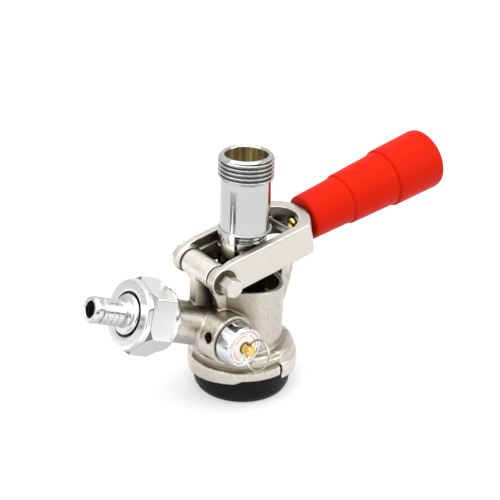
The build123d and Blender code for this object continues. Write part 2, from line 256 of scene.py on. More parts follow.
def casting(name, node, extra, voxel, concave, both):
    """The CAD solid, joined with extra cast details, with cast fillets."""
    src = NODES[node]
    me = src.data.copy()
    ob = bpy.data.objects.new(name, me)
    scene.collection.objects.link(ob)
    if extra:
        bm = bmesh.new()
        bm.from_mesh(me)
        for e in extra:
            bm.from_mesh(e.data)
            bpy.data.objects.remove(e, do_unlink=True)
        bm.to_mesh(me)
        bm.free()
    bm = bmesh.new()
    bm.from_mesh(me)
    bmesh.ops.remove_doubles(bm, verts=bm.verts, dist=1e-7)
    bm.to_mesh(me)
    bm.free()
    m = ob.modifiers.new("remesh", "REMESH")
    m.mode = "VOXEL"
    m.voxel_size = voxel * MM
    m.adaptivity = 0.0
    apply_modifiers(ob)
    relax(ob.data, concave, both)
    ob.data.shade_smooth()
    ob.data.materials.clear()
    return ob


# --------------------------------------------------------------- materials
class Nodes:
    """A small builder for one node material."""

    def __init__(self, name):
        self.mat = bpy.data.materials.new(name)
        self.mat.use_nodes = True
        self.t = self.mat.node_tree
        self.t.nodes.clear()
        self.out = self.t.nodes.new("ShaderNodeOutputMaterial")
        self.b = self.t.nodes.new("ShaderNodeBsdfPrincipled")
        self.t.links.new(self.b.outputs[0], self.out.inputs[0])
        self.tc = self.t.nodes.new("ShaderNodeTexCoord")
        self.coord = self.tc.outputs["Object"]

    def n(self, kind, **kw):
        nd = self.t.nodes.new(kind)
        for k, v in kw.items():
            setattr(nd, k, v)
        return nd

    def link(self, a, b):
        self.t.links.new(a, b)

    def noise(self, scale, detail=3.0, rough=0.55, coord=None, distort=0.0):
        nd = self.n("ShaderNodeTexNoise")
        nd.inputs["Scale"].default_value = scale
        nd.inputs["Detail"].default_value = detail
        nd.inputs["Roughness"].default_value = rough
        nd.inputs["Distortion"].default_value = distort
        self.link(coord or self.coord, nd.inputs["Vector"])
        return nd.outputs["Fac"]

    def voronoi(self, scale, feature="F1", coord=None):
        nd = self.n("ShaderNodeTexVoronoi", feature=feature)
        nd.inputs["Scale"].default_value = scale
        self.link(coord or self.coord, nd.inputs["Vector"])
        return nd.outputs["Distance"]

    def stretch(self, sx, sy, sz, rot=(0, 0, 0)):
        nd = self.n("ShaderNodeMapping")
        nd.inputs["Scale"].default_value = (sx, sy, sz)
        nd.inputs["Rotation"].default_value = rot
        self.link(self.coord, nd.inputs["Vector"])
        return nd.outputs["Vector"]

    def ramp(self, fac, stops, interp="LINEAR"):
        nd = self.n("ShaderNodeValToRGB")
        cr = nd.color_ramp
        cr.interpolation = interp
        while len(cr.elements) > 1:
            cr.elements.remove(cr.elements[-1])
        cr.elements[0].position, cr.elements[0].color = stops[0][0], self.rgba(stops[0][1])
        for p, c in stops[1:]:
            e = cr.elements.new(p)
            e.color = self.rgba(c)
        self.link(fac, nd.inputs["Fac"])
        return nd.outputs["Color"]

    @staticmethod
    def rgba(c):
        return (c, c, c, 1) if isinstance(c, (int, float)) else (c[0], c[1], c[2], 1)

    def mix(self, fac, a, b, blend="MIX"):
        nd = self.n("ShaderNodeMix", data_type="RGBA", blend_type=blend)
        for s, v in ((nd.inputs[0], fac), (nd.inputs[6], a), (nd.inputs[7], b)):
            if isinstance(v, (int, float)):
                s.default_value = v if s.type == "VALUE" else (v, v, v, 1)
            elif isinstance(v, tuple):
                s.default_value = self.rgba(v)
            else:
                self.link(v, s)
        return nd.outputs[2]

    def math(self, op, a, b=None, c=None, clamp=False):
        nd = self.n("ShaderNodeMath", operation=op, use_clamp=clamp)
        for s, v in ((nd.inputs[0], a), (nd.inputs[1], b), (nd.inputs[2], c)):
            if v is None:
                continue
            if isinstance(v, (int, float)):
                s.default_value = v
            else:
                self.link(v, s)
        return nd.outputs[0]

    def facing(self, stops):
        """Ramp over how far the surface faces up: 0 down, 0.5 upright, 1 up."""
        g = self.n("ShaderNodeNewGeometry")
        x = self.n("ShaderNodeSeparateXYZ")
        self.link(g.outputs["Normal"], x.inputs[0])
        return self.ramp(self.math("MULTIPLY_ADD", x.outputs["Z"], 0.5, 0.5), stops)

    def height(self, stops):
        """Ramp over height, 0 to 0.1 m."""
        x = self.n("ShaderNodeSeparateXYZ")
        self.link(self.coord, x.inputs[0])
        return self.ramp(self.math("MULTIPLY", x.outputs["Z"], 10.0), stops)

    def ao(self, dist, samples=6):
        nd = self.n("ShaderNodeAmbientOcclusion")
        nd.samples = samples
        nd.inputs["Distance"].default_value = dist
        return nd.outputs["AO"]

    def bump(self, height, strength, distance, under=None):
        nd = self.n("ShaderNodeBump")
        nd.inputs["Strength"].default_value = strength
        nd.inputs["Distance"].default_value = distance
        self.link(height, nd.inputs["Height"])
        if under is not None:
            self.link(under, nd.inputs["Normal"])
        return nd.outputs["Normal"]

    def bevel(self, radius, samples=6):
        nd = self.n("ShaderNodeBevel")
        nd.samples = samples
        nd.inputs["Radius"].default_value = radius
        return nd.outputs["Normal"]

    def set(self, **kw):
        names = {"color": "Base Color", "rough": "Roughness", "metal": "Metallic", "normal": "Normal", "spec": "Specular IOR Level", "coat": "Coat Weight", "coat_rough": "Coat Roughness", "aniso": "Anisotropic", "sss": "Subsurface Weight", "ior": "IOR", "sheen": "Sheen Weight"}
        for k, v in kw.items():
            s = self.b.inputs[names[k]]
            if isinstance(v, (int, float)):
                s.default_value = v
            elif isinstance(v, tuple):
                s.default_value = self.rgba(v)
            else:
                self.link(v, s)
        return self


def nickel(name, base=(0.70, 0.675, 0.63), grain=1.0, rough=0.30, crevice_shade=0.55, speck=0.5, wide_shade_weight=0.8, height_shade=None, painted_shoulder_light=None, recess_shade=False):
    """Satin nickel plate over a casting: fine sparkling grain and pits, with shade painted into the colour in crevices,
    on undersides and near neighbouring parts.
    """
    m = Nodes(name)
    fine = m.noise(4200, 3, 0.7)
    mid = m.noise(900, 4, 0.6)
    big = m.noise(110, 3, 0.5)
    pits = m.voronoi(700)
    col = m.mix(m.math("MULTIPLY", big, 0.35), base, tuple(c * 0.86 for c in base))
    spots = m.ramp(mid, [(0.30, (0.34, 0.31, 0.26)), (0.40, (0.80, 0.79, 0.77)), (0.55, (1, 1, 1))])
    col = m.mix(speck, col, spots, "MULTIPLY")
    glint = m.ramp(fine, [(0.32, 0.72), (0.5, 0.98), (0.68, 1.0)])
    col = m.mix(0.55 * grain if grain < 1 else 0.55, col, glint, "MULTIPLY")
    # painted shade: crevices and corners found by ambient occlusion are darkened brown in the colour
    ao = m.ao(0.0035)
    crevice_shade_col = m.ramp(ao, [(0.25, (0.22, 0.18, 0.13)), (0.6, (0.72, 0.69, 0.64)), (0.85, (1, 1, 1))])
    col = m.mix(crevice_shade, col, crevice_shade_col, "MULTIPLY")
    # painted light and shade by height: the casting is made lighter or darker band by band going up
    if height_shade:
        col = m.mix(1.0, col, m.height(height_shade), "MULTIPLY")
    # painted shade: faces turned downward are darkened
    col = m.mix(1.0, col, m.facing([(0.0, 0.70), (0.35, 0.86), (0.5, 1.0)]), "MULTIPLY")
    if painted_shoulder_light:
        # painted shade and highlight across the barrel wall: darker to the left, lighter to the right as seen from the
        # camera
        rv = m.n("ShaderNodeVectorMath", operation="MULTIPLY")
        rv.inputs[1].default_value = (1, 1, 0)
        m.link(m.coord, rv.inputs[0])
        rl = m.n("ShaderNodeVectorMath", operation="LENGTH")
        m.link(rv.outputs[0], rl.inputs[0])
        sp = m.n("ShaderNodeSeparateXYZ")
        m.link(m.coord, sp.inputs[0])
        u = m.n("ShaderNodeVectorMath", operation="DOT_PRODUCT")
        u.inputs[1].default_value = (0.8076, -0.5896, 0)
        m.link(m.coord, u.inputs[0])
        shade = m.ramp(m.math("MULTIPLY_ADD", u.outputs["Value"], 20.0, m.math("MULTIPLY_ADD", m.noise(160, 3, 0.6), 0.16, 0.42)), [(0.16, (0.66, 0.63, 0.57)), (0.44, (0.60, 0.565, 0.495)), (0.57, (0.80, 0.78, 0.73)), (0.66, (1, 1, 1))])
        wall = m.math("MULTIPLY", m.math("LESS_THAN", rl.outputs["Value"], 0.01755), m.math("GREATER_THAN", sp.outputs["Z"], 0.0226))
        col = m.mix(wall, col, m.mix(1.0, col, shade, "MULTIPLY"))
        # painted highlight: the near-side boss above the flange is brightened
        boss_highlight_mask = m.math("MULTIPLY", m.math("GREATER_THAN", rl.outputs["Value"], 0.01755), m.math("MULTIPLY", m.math("LESS_THAN", sp.outputs["Y"], -0.0085), m.math("GREATER_THAN", sp.outputs["Z"], 0.0226)))
        col = m.mix(boss_highlight_mask, col, m.mix(1.0, col, (1.22, 1.20, 1.17), "MULTIPLY"))
        # painted shade lines that stand in for the shadowed sides of cast ridges round the shoulder, broken off at the
        # two locking ears
        d = m.n("ShaderNodeVectorMath", operation="DOT_PRODUCT")
        d.inputs[1].default_value = (math.cos(rad(132)), math.sin(rad(132)), 0)
        m.link(m.coord, d.inputs[0])
        free = m.math("LESS_THAN", m.math("ABSOLUTE", d.outputs["Value"]), 0.0187)
        x = m.n("ShaderNodeSeparateXYZ")
        m.link(m.coord, x.inputs[0])
        z = m.math("MULTIPLY_ADD", x.outputs["Z"], 10.0, m.math("MULTIPLY_ADD", m.noise(420, 3, 0.6), 0.012, -0.006))
        col = m.mix(free, col, m.mix(1.0, col, m.ramp(z, painted_shoulder_light), "MULTIPLY"))
    if recess_shade:
        # painted shade on the floor of the bolt's counterbore
        d = m.n("ShaderNodeVectorMath", operation="SUBTRACT")
        d.inputs[1].default_value = tuple(HINGE_AT * MM)
        m.link(m.coord, d.inputs[0])
        f = m.n("ShaderNodeVectorMath", operation="MULTIPLY")
        f.inputs[1].default_value = (1, 0, 1)
        m.link(d.outputs[0], f.inputs[0])
        ln = m.n("ShaderNodeVectorMath", operation="LENGTH")
        m.link(f.outputs[0], ln.inputs[0])
        x = m.n("ShaderNodeSeparateXYZ")
        m.link(m.coord, x.inputs[0])
        inside = m.math("MULTIPLY", m.math("LESS_THAN", ln.outputs["Value"], 0.0053), m.math("MULTIPLY", m.math("LESS_THAN", x.outputs["Y"], -0.0138), m.math("GREATER_THAN", x.outputs["Y"], -0.01485)))
        col = m.mix(m.math("MULTIPLY", inside, 0.8), col, (0.13, 0.10, 0.065))
        # painted shade on the arms' inner faces below the ledges
        low = m.n("ShaderNodeVectorMath", operation="DOT_PRODUCT")
        low.inputs[1].default_value = tuple(LZ)
        m.link(d.outputs[0], low.inputs[0])
        under = m.math("MULTIPLY", m.math("LESS_THAN", low.outputs["Value"], -0.0012), m.math("LESS_THAN", m.math("ABSOLUTE", x.outputs["Y"]), 0.01235))
        col = m.mix(m.math("MULTIPLY", under, 0.82), col, (0.10, 0.085, 0.065))
    # painted shade: a wide ambient-occlusion pass darkens the casting brown near neighbouring parts
    wide_shade_col = m.ramp(m.ao(0.016, 8), [(0.22, (0.20, 0.165, 0.12)), (0.42, (0.52, 0.475, 0.40)), (0.62, (0.86, 0.845, 0.81)), (0.80, (1, 1, 1))])
    col = m.mix(wide_shade_weight, col, wide_shade_col, "MULTIPLY")
    r = m.math("ADD", m.math("MULTIPLY", mid, 0.20), rough - 0.10)
    r = m.math("ADD", r, m.math("MULTIPLY", fine, 0.08))
    nb = m.bump(m.math("ADD", m.math("MULTIPLY", fine, 0.6), m.math("MULTIPLY", pits, 0.5)), 0.30 * grain, 0.00016)
    nb = m.bump(mid, 0.25 * grain, 0.0004, nb)
    m.set(color=col, metal=1.0, rough=r, normal=nb)
    return m.mat


def chrome(name, base=(0.86, 0.865, 0.87), rough=0.07, wave=0.12, bevel=0.0002, grain=0.0, smear=0.10, hollow_shade=0.55, reach=0.0022):
    m = Nodes(name)
    w = m.noise(160, 2, 0.5)
    f = m.noise(2600, 3, 0.6)
    col = m.mix(m.math("MULTIPLY", w, 0.18), base, tuple(c * 0.90 for c in base))
    # painted shade: hollows found by ambient occlusion are darkened
    ao = m.ao(reach, 8)
    col = m.mix(hollow_shade, col, m.ramp(ao, [(0.25, (0.10, 0.09, 0.08)), (0.80, (1, 1, 1))]), "MULTIPLY")
    # painted shade: faces turned downward are darkened
    col = m.mix(1.0, col, m.facing([(0.05, 0.55), (0.36, 0.78), (0.52, 1.0)]), "MULTIPLY")
    r = m.math("ADD", m.math("MULTIPLY", m.noise(420, 4, 0.6), smear), max(rough - smear * 0.5, 0.01))
    nb = m.bevel(bevel) if bevel else None
    if wave:
        nb = m.bump(w, wave, 0.0006, nb)
    if grain:
        nb = m.bump(f, grain, 0.00012, nb)
    m.set(color=col, metal=1.0, rough=r)
    if nb is not None:
        m.set(normal=nb)
    return m.mat


def brass(name, base=(0.80, 0.56, 0.20), rough=0.22, streak=0.0, crevice_shade=0.6):
    m = Nodes(name)
    big = m.noise(300, 3, 0.6)
    if streak:
        run = m.noise(620, 3, 0.6, m.stretch(1, 1, 0.03))
        base = m.mix(streak, base, m.ramp(run, [(0.36, tuple(c * 0.45 for c in base)), (0.5, base), (0.66, tuple(min(c * 2.6, 1) for c in base))]))
    col = m.mix(m.math("MULTIPLY", big, 0.6), base, (0.62, 0.40, 0.12) if not streak else (0.12, 0.085, 0.045))
    # painted shade: crevices found by ambient occlusion are darkened
    ao = m.ao(0.0025)
    col = m.mix(crevice_shade, col, m.ramp(ao, [(0.25, (0.25, 0.16, 0.07)), (0.8, (1, 1, 1))]), "MULTIPLY")
    nb = m.bevel(0.00015)
    nb = m.bump(m.noise(2200, 3, 0.6), 0.22, 0.0001, nb)
    m.set(color=col, metal=1.0, rough=m.math("ADD", m.math("MULTIPLY", big, 0.14), rough - 0.07), normal=nb)
    return m.mat


def steel(name, base=(0.60, 0.60, 0.59), rough=0.3, bevel=0.0002):
    m = Nodes(name)
    f = m.noise(2400, 3, 0.6)
    g = m.noise(350, 3, 0.5)
    col = m.mix(m.math("MULTIPLY", g, 0.5), base, tuple(c * 0.78 for c in base))
    # painted shade: crevices found by ambient occlusion are darkened
    ao = m.ao(0.002)
    col = m.mix(0.5, col, m.ramp(ao, [(0.2, (0.3, 0.27, 0.22)), (0.8, (1, 1, 1))]), "MULTIPLY")
    nb = m.bump(f, 0.2, 0.0001, m.bevel(bevel))
    m.set(color=col, metal=1.0, rough=m.math("ADD", m.math("MULTIPLY", g, 0.16), rough - 0.08), normal=nb)
    return m.mat


def plastic(name, base, rough=0.36, mottle=0.12, bump=0.18, bevel=0.0003, spec=0.5, sss=0.0):
    m = Nodes(name)
    big = m.noise(60, 3, 0.5)
    fine = m.noise(1500, 4, 0.65)
    col = m.mix(m.math("MULTIPLY", big, mottle * 2), base, tuple(c * 0.80 for c in base))
    # painted shade: crevices found by ambient occlusion are darkened
    ao = m.ao(0.002)
    col = m.mix(0.6, col, m.ramp(ao, [(0.3, 0.45), (0.8, 1.0)]), "MULTIPLY")
    nb = m.bump(fine, bump, 0.00012, m.bevel(bevel))
    nb = m.bump(m.noise(240, 2, 0.5), bump * 0.6, 0.0003, nb)
    m.set(color=col, metal=0.0, rough=m.math("ADD", m.math("MULTIPLY", fine, 0.14), rough - 0.07), normal=nb, spec=spec)
    if sss:
        m.b.inputs["Subsurface Weight"].default_value = sss
        m.b.inputs["Subsurface Radius"].default_value = (0.004, 0.001, 0.0006)
    return m.mat


# the casting colours carry painted shade in crevices, by height and near parts, painted shade bands round the shoulder
# and a painted highlight on the near boss
M_BODY = nickel("nickel_casting", base=(0.86, 0.825, 0.76), grain=1.0, rough=0.29, crevice_shade=0.95, speck=0.52, wide_shade_weight=0.9, painted_shoulder_light=[(0.150, (0.84, 0.835, 0.82)), (0.162, (1, 1, 1)), (0.1675, (0.30, 0.25, 0.185)), (0.181, (0.34, 0.29, 0.22)), (0.192, (0.80, 0.78, 0.74)), (0.203, (1, 1, 1)), (0.2085, (0.40, 0.35, 0.28)), (0.213, (0.80, 0.79, 0.76)), (0.219, (1, 1, 1)), (0.2235, (0.62, 0.585, 0.53)), (0.228, (0.95, 0.95, 0.94)), (0.24, (1, 1, 1))], height_shade=[(0.165, (0.88, 0.875, 0.86)), (0.180, (0.78, 0.77, 0.75)), (0.225, (0.74, 0.73, 0.71)), (0.29, (0.70, 0.69, 0.675)), (0.48, (0.69, 0.69, 0.68)), (0.55, (1, 1, 1))])
M_LEVER = nickel("nickel_casting_lever", base=(0.67, 0.65, 0.60), grain=0.8, rough=0.29, crevice_shade=1.0, speck=0.22, wide_shade_weight=1.0, recess_shade=True)
M_PROBE = chrome("chrome_probe", base=(0.51, 0.52, 0.51), rough=0.07, wave=0.05, smear=0.06, hollow_shade=0.74, reach=0.0018)
M_NUT = chrome("chrome_nut", base=(0.83, 0.84, 0.83), rough=0.20, wave=0.04, bevel=0, smear=0.06, hollow_shade=0.7)
M_TAIL = chrome("chrome_tailpiece", base=(0.68, 0.69, 0.69), rough=0.20, wave=0.10, bevel=0.0002, smear=0.10, hollow_shade=0.8)
M_RCAP = chrome("chrome_relief_cap", base=(0.68, 0.695, 0.72), rough=0.15, wave=0, bevel=0, smear=0.02)
# painted reflection: the nut's chamfered shoulder gets a near-black base colour for the dark reflection it shows
M_SHOULDER_REFLECTION = chrome("nut_shoulder_dark_reflection", base=(0.17, 0.17, 0.165), rough=0.25, wave=0.04, bevel=0, smear=0.06)
M_WIRE = chrome("nickel_wire", base=(0.50, 0.46, 0.40), rough=0.2, wave=0.05, bevel=0.00005)
M_STEM = brass("brass_stem", base=(0.84, 0.58, 0.16), rough=0.20)
M_ROD = brass("brass_rod", base=(0.86, 0.60, 0.19), rough=0.16)
M_BORE = brass("outlet_bore", base=(0.50, 0.37, 0.195), rough=0.45, streak=0.85, crevice_shade=0.6)
M_INSERT = brass("brass_insert", rough=0.3)
M_BOLT = steel("nickel_bolt", base=(0.66, 0.64, 0.59), rough=0.26, bevel=0.00035)
# painted shadow: the hinge washers are near black so they read as the shaded gaps at the hinge barrel's ends
M_WASHER_SHADOW = steel("zinc_washer", base=(0.075, 0.07, 0.06), rough=0.42)
M_TUBE = steel("steel_tube", base=(0.66, 0.66, 0.65), rough=0.22)
M_CAGE = steel("steel_cage", base=(0.62, 0.62, 0.62), rough=0.2)
M_BALL = chrome("steel_ball", base=(0.75, 0.75, 0.75), rough=0.08)
M_SPRING = steel("spring_steel", base=(0.42, 0.42, 0.43), rough=0.25)
M_RED = plastic("red_grip", (0.55, 0.0105, 0.0008), rough=0.46, sss=0.02, spec=0.05)
M_BLACK = plastic("black_cap", (0.007, 0.0072, 0.008), rough=0.40, mottle=0.2, bump=0.2, spec=0.10)
M_SEAL = plastic("black_seal", (0.014, 0.014, 0.014), rough=0.5, bevel=0.0001)


def label_material():
    """White printed disc with a broken ring of plain red dashes, no lettering."""
    m = Nodes("label_disc")
    # polar coordinates about the valve axis
    sub = m.n("ShaderNodeVectorMath", operation="SUBTRACT")
    sub.inputs[1].default_value = (-0.0185, 0, 0.0323)
    m.link(m.coord, sub.inputs[0])
    dx = m.n("ShaderNodeVectorMath", operation="DOT_PRODUCT")
    dx.inputs[1].default_value = (math.cos(PA), math.sin(PA), 0)
    m.link(sub.outputs[0], dx.inputs[0])
    dz = m.n("ShaderNodeVectorMath", operation="DOT_PRODUCT")
    dz.inputs[1].default_value = (0, 0, 1)
    m.link(sub.outputs[0], dz.inputs[0])
    ang = m.math("ARCTAN2", dz.outputs["Value"], dx.outputs["Value"])
    r2 = m.math("ADD", m.math("MULTIPLY", dx.outputs["Value"], dx.outputs["Value"]), m.math("MULTIPLY", dz.outputs["Value"], dz.outputs["Value"]))
    rr = m.math("SQRT", r2)
    inner = m.math("GREATER_THAN", rr, 0.00500)
    outer = m.math("LESS_THAN", rr, 0.00595)
    band = m.math("MULTIPLY", inner, outer)
    turns = m.math("MULTIPLY", ang, 34 / (2 * math.pi))
    saw = m.math("FRACT", m.math("ADD", turns, 40.0))
    dash = m.math("LESS_THAN", saw, 0.62)
    # a slow pattern leaves some dashes out, as worn print does
    wrap = m.math("FRACT", m.math("ADD", m.math("MULTIPLY", ang, 4 / (2 * math.pi)), 8.13))
    keep = m.math("LESS_THAN", wrap, 0.80)
    worn = m.ramp(m.noise(900, 3, 0.6), [(0.36, 0.15), (0.52, 1.0)])
    k = m.math("MULTIPLY", m.math("MULTIPLY", band, dash), keep)
    k = m.math("MULTIPLY", k, worn)
    white = m.mix(m.math("MULTIPLY", m.noise(500, 3, 0.5), 0.3), (0.86, 0.85, 0.82), (0.72, 0.70, 0.66))
    col = m.mix(m.math("MULTIPLY", k, 0.85), white, (0.72, 0.055, 0.04))
    # painted shade: corners found by ambient occlusion are darkened
    ao = m.ao(0.0015)
    col = m.mix(0.6, col, m.ramp(ao, [(0.3, 0.45), (0.85, 1.0)]), "MULTIPLY")
    m.set(color=col, metal=0.0, rough=0.42, normal=m.bump(m.noise(1800, 3, 0.6), 0.1, 0.0001))
    return m.mat


M_LABEL = label_material()


def dress(ob, *mats, index=None):
    ob.data.materials.clear()
    for m in mats:
        ob.data.materials.append(m)
    if index is not None:
        ob.data.polygons.foreach_set("material_index", index)
        ob.data.update()
    return ob


def cad(node, mat):
    o = NODES[node]
    for i in range(len(o.material_slots)):
        o.material_slots[i].link = "OBJECT"
        o.material_slots[i].material = mat
    if not o.material_slots:
        o.data.materials.append(mat)


for node, mat in (
        ("hinge_bolt", M_BOLT), ("hinge_nut", M_BOLT), ("hinge_washers", M_WASHER_SHADOW), ("handle_tube", M_TUBE), ("latch_rod", M_ROD),
        ("prv_stem", M_STEM), ("prv_label_disc", M_LABEL), ("grip_insert", M_INSERT), ("body_seal", M_SEAL), ("probe_seal", M_SEAL),
        ("gland_o_ring", M_SEAL), ("prv_seat_seal", M_SEAL), ("gas_check_valve", M_SEAL), ("tailpiece_washer", M_SEAL),
        ("ball_retainer", M_CAGE), ("check_ball", M_BALL), ("latch_spring", M_SPRING), ("prv_spring", M_SPRING)):
    cad(node, mat)


def place(ob, body, slot, *nodes):
    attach(ob, body)
    if nodes:
        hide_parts(*nodes)
    return ob


# ----------------------------------------------------------- body casting
# small cast marks: a bead on the shoulder left of the relief valve, and two
# pips on the near face of the latch lug
marks = []
arc = [(21.75 * math.cos(rad(186 + 2.2 * k)), 21.75 * math.sin(rad(186 + 2.2 * k)), 20.15) for k in range(31)]
marks.append(tube_along("bead", arc, 0.75, 10, taper=lambda u: 0.3 + 0.7 * math.sin(math.pi * u) ** 0.5))
for i, (x0, z0, r0) in enumerate(((20.8, 46.2, 1.0), (22.2, 50.1, 0.6))):
    marks.append(tube_along("pip_%d" % i, [(x0, -3.0, z0), (x0, -4.3, z0), (x0, -4.6, z0)], r0, 12, taper=lambda u: 1.0 if u < 0.8 else 0.7))
body = casting("body_shell", "body_casting", marks, 0.34, 14, 1)
dress(body, M_BODY)
place(body, "coupler_body", "nickel_casting", "body_casting")

lever = casting("lever_shell", "lever_yoke", [], 0.28, 16, 2)
dress(lever, M_LEVER)
place(lever, "lever", "nickel_casting_lever", "lever_yoke")


# ----------------------------------------------------------------- probe
PITCH = 1.814
ROOT, CREST = 10.30, 11.44
T0, T1 = 94.3, 103.9


def thread_r(t, z):
    """Radius of the outlet thread at angle t and height z."""
    u = (z - T0) / PITCH + t / (2 * math.pi)
    f = u - math.floor(u)
    tri = 1 - abs(2 * f - 1)              # 0 at the root, 1 at the crest
    tri = min(max((tri - 0.12) / 0.70, 0), 1)
    tri = tri * tri * (3 - 2 * tri) * 0.35 + tri * 0.65
    start = min(max((z - T0 - 0.2 + 0.9 * (t / (2 * math.pi) - 0.5)) / 0.9, 0), 1)
    return ROOT + (CREST - ROOT) * tri * start


def probe_mesh():
    outer = []                            # (z, radius) rows going up
    FZ = 58.6 + 20.0 * math.sin(LV)

    def row(z, r, kind=0):
        outer.append((z, r, kind))
    for z, r in ((12.2, 10.2), (12.35, 10.4), (15.4, 10.4), (15.6, 10.2), (16.0, 9.3), (16.2, 9.2), (50.6, 9.2), (51.2, 9.2), (FZ - 2.62, 9.2), (FZ - 2.52, 9.1), (FZ - 2.5, 7.95), (FZ - 2.4, 7.9),
                 (FZ + 2.4, 7.9), (FZ + 2.5, 7.95), (FZ + 2.52, 9.1), (FZ + 2.62, 9.2), (68.35, 9.2), (68.6, 9.1), (68.8, 8.3), (69.0, 8.12), (69.7, 8.3), (70.4, 8.75), (71.0, 9.3), (71.5, 9.85), (71.9, 10.25), (72.15, 10.45), (72.3, 10.6), (72.4, 10.9), (72.47, 11.05),
                 (72.6, 11.1), (73.0, 11.1), (73.15, 11.05), (73.2, 10.9), (73.22, 10.5), (73.3, 10.38), (73.5, 10.35), (80, 10.35), (90, 10.35), (93.9, 10.35), (94.2, 10.33)):
        row(z, r)
    z = 94.3
    while z < 103.85:
        row(z, None, 1)
        z += PITCH / 26
    for z, r in ((103.95, 11.0), (104.2, 10.75), (104.5, 10.5), (104.75, 10.22), (104.86, 10.05), (104.9, 9.85), (104.9, 9.5), (104.86, 9.3), (104.7, 9.05), (104.4, 8.78), (104.1, 8.7)):
        row(z, r, 0)
    for z, r in ((103.5, 8.7), (94.6, 8.7), (94.4, 8.6), (92.0, 5.7), (91.8, 5.6), (23.5, 5.6), (21.5, 3.7), (20.5, 3.7), (19.8, 5.6), (12.3, 5.6), (12.2, 5.7)):
        row(z, r, 2)
    rail0, rail1 = 146.5, 213.5
    cols = sorted(set([round(i * 2.25, 3) for i in range(160)] + [rail0 - 0.05, rail0 + 0.3, rail1 - 0.3, rail1 + 0.05]))
    verts, faces, mi = [], [], []
    n = len(outer)
    for a in cols:
        t = rad(a)
        inside = rail0 < a < rail1
        for z, r, kind in outer:
            if kind == 1:
                top = 11.0 + (103.95 - z) * 0.55
                r = min(thread_r(t, z), top)
            if kind == 0 and inside and r < 11.1 and 50.9 < z < 72.8:
                r = 11.1
            verts.append((r * math.cos(t), r * math.sin(t), z))
    m = len(cols)
    for i in range(m):
        j = (i + 1) % m
        for k in range(n):
            l = (k + 1) % n
            faces.append((i * n + k, j * n + k, j * n + l, i * n + l))
            mi.append(1 if outer[k][2] == 2 or outer[l][2] == 2 else 0)
    return verts, faces, mi


pv, pf, pm = probe_mesh()
probe = new_mesh("probe_polished", pv, pf, UP, pm)
bm = bmesh.new()
bm.from_mesh(probe.data)
bmesh.ops.recalc_face_normals(bm, faces=bm.faces)
bm.to_mesh(probe.data)
bm.free()
soften(probe, 35)
dress(probe, M_PROBE, M_BORE, index=pm)
place(probe, "probe", "chrome_probe", "probe_tube")

# ------------------------------------------------------------- union nut
def smin(p, q, k):
    h = max(k - abs(p - q), 0) / k
    return min(p, q) - h * h * k / 4


def nut_mesh():
    flat = 15.93 * math.cos(rad(30))
    env = [(43.9, 12.7), (44.3, 13.2), (45.0, 13.4), (46.8, 13.4), (48.6, 16.13), (56.5, 16.13), (58.7, 14.5), (60.6, 14.3), (61.0, 14.12), (61.2, 13.92), (61.3, 13.6)]
    rows = [43.9, 44.1, 44.3, 44.6, 45.0, 45.9, 46.6]
    rows += [46.8 + 0.12 * i for i in range(20)] + [49.4, 50.4, 51.6, 52.8, 54.0, 55.0, 55.6] + [56.0 + 0.11 * i for i in range(28)] + [59.4, 60.0, 60.4, 60.6, 60.8, 60.92, 61.02, 61.1, 61.17, 61.22, 61.27, 61.3]
    inner = [(61.3, 12.4), (61.3, 10.8), (61.3, 9.6), (61.27, 9.42), (61.2, 9.3), (61.08, 9.22), (60.9, 9.2), (58.2, 9.2), (58.15, 9.3), (58.15, 11.46), (58.0, 11.46), (44.4, 11.46), (44.0, 11.8), (43.9, 12.0)]
    verts, faces, shoulder, cut = [], [], [], {}
    n = len(rows) + len(inner)
    m = 360
    for i in range(m):
        t = rad(16.8 + i)
        d = abs((i % 60) - 30)
        hexr = smin(flat / math.cos(rad(d)), flat / math.cos(rad(60 - d)), 0.35)
        for z in rows:
            e = float(np.interp(z, [p[0] for p in env], [p[1] for p in env]))
            r = smin(hexr, e, 0.30)
            cut[i, z] = e < hexr + 0.02 and 56.6 < z < 58.72
            verts.append((r * math.cos(t), r * math.sin(t), z))
        for z, r in inner:
            verts.append((r * math.cos(t), r * math.sin(t), z))
    for i in range(m):
        j = (i + 1) % m
        for k in range(n):
            l = (k + 1) % n
            faces.append((i * n + k, j * n + k, j * n + l, i * n + l))
            shoulder.append(1 if k < len(rows) and (cut[i, rows[k]] or abs(rows[k] - 58.7) < 0.09) else 0)
    return verts, faces, shoulder


nv, nf, ns = nut_mesh()
nut = new_mesh("gas_union_nut", nv, nf, GAS)
bm = bmesh.new()
bm.from_mesh(nut.data)
bmesh.ops.recalc_face_normals(bm, faces=bm.faces)
bm.to_mesh(nut.data)
bm.free()
soften(nut, 50)
# the shoulder faces get the dark chrome that paints in a dark reflection
dress(nut, M_NUT, M_SHOULDER_REFLECTION, index=ns)
place(nut, "gas_nut", "chrome_nut", "union_nut")

# ------------------------------------------------------------- tailpiece
tail = lathe("hose_tail", [
    (3.3, 55.4), (10.4, 55.4, 0.2), (10.6, 57.9, 0.2), (8.3, 58.0), (8.3, 62.3, 1.5), (5.6, 62.7, 0.6), (5.35, 63.8, 0.3),
    (5.30, 65.2), (5.46, 65.6), (5.28, 67.8), (5.44, 68.2), (5.26, 70.4), (5.42, 70.8), (5.24, 73.0), (5.40, 73.4), (5.30, 74.7, 0.2),
    (4.70, 75.0, 0.15), (4.70, 75.7, 0.15), (5.42, 76.0, 0.35), (5.46, 77.6, 0.5), (4.75, 78.85, 0.4), (3.75, 78.98, 0.25), (3.3, 78.5, 0.15)], GAS, 120, 24)
dress(tail, M_TAIL)
place(tail, "coupler_body", "chrome_tailpiece", "hose_tailpiece")

